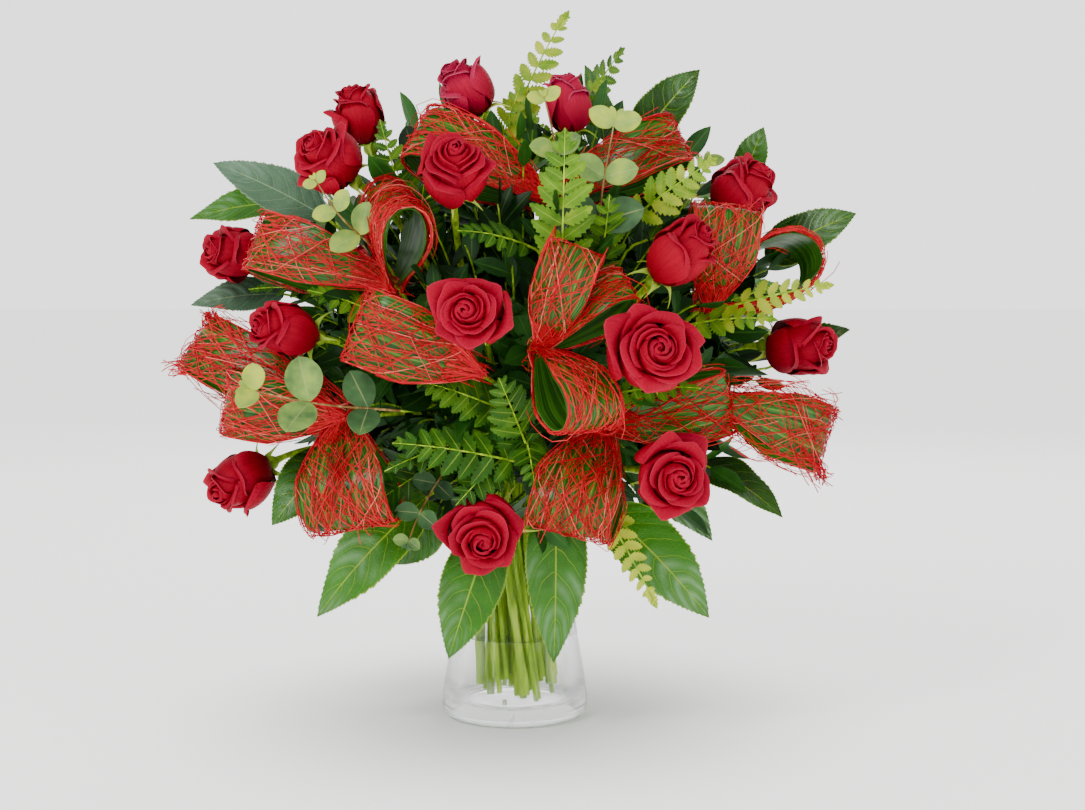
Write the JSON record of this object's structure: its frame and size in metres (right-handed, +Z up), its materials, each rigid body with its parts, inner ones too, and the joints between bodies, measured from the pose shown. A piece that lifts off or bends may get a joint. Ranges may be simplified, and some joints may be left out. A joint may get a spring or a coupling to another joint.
{
  "type": "roses in a vase",
  "caption": "Round bouquet of red roses, serrated leaves, fern, eucalyptus and looped leaves faced with red sisal web, standing in a tapered glass vase of water.",
  "frame": {"origin": "middle of the underside of the vase's foot, on the surface that it stands on", "axes": "+Z up along the vase's axis, +X to the viewer's right, -Y towards the viewer, so the bouquet's face looks along -Y"},
  "size_m": [0.494, 0.4094, 0.523],
  "materials": {
    "glass": "clear, polished",
    "water": "clear, still",
    "petal": "soft, velvety, with a faint sheen",
    "stem": "smooth green bark",
    "leaf": "glossy, veined",
    "strap": "glossy, striped lengthwise",
    "fern": "matt",
    "eucalyptus": "waxy, matt",
    "sisal": "dry, fibrous"
  },
  "bodies": {
    "root": {"vase": "glass", "water": "water", "rose_bloom_01": "petal", "rose_bloom_02": "petal", "rose_bloom_03": "petal", "rose_bloom_04": "petal", "rose_bloom_05": "petal", "rose_bloom_06": "petal", "rose_bloom_07": "petal", "rose_bloom_08": "petal", "rose_bloom_09": "petal", "rose_bloom_10": "petal", "rose_bloom_11": "petal", "rose_bloom_12": "petal", "rose_bloom_13": "petal", "rose_bloom_14": "petal", "rose_bloom_15": "petal", "rose_bloom_16": "petal", "rose_bloom_17": "petal", "rose_bloom_18": "petal", "rose_stem_01": "stem", "rose_stem_02": "stem", "rose_stem_03": "stem", "rose_stem_04": "stem", "rose_stem_05": "stem", "rose_stem_06": "stem", "rose_stem_07": "stem", "rose_stem_08": "stem", "rose_stem_09": "stem", "rose_stem_10": "stem", "rose_stem_11": "stem", "rose_stem_12": "stem", "rose_stem_13": "stem", "rose_stem_14": "stem", "rose_stem_15": "stem", "rose_stem_16": "stem", "rose_stem_17": "stem", "rose_stem_18": "stem", "leaf_spray_front": "leaf", "leaf_spray_right": "leaf", "leaf_spray_left": "leaf", "leaf_spray_back": "leaf", "loops_centre": "strap", "loops_right": "strap", "loops_top": "strap", "loops_left": "strap", "loops_back": "strap", "fern_top": "fern", "fern_left": "fern", "fern_centre": "fern", "fern_right": "fern", "eucalyptus_left": "eucalyptus", "eucalyptus_right": "eucalyptus", "sisal_centre": "sisal", "sisal_low_right": "sisal", "sisal_high_right": "sisal", "sisal_top": "sisal", "sisal_high_left": "sisal", "sisal_low_left": "sisal", "sisal_back": "sisal"}
  },
  "joints": []
}
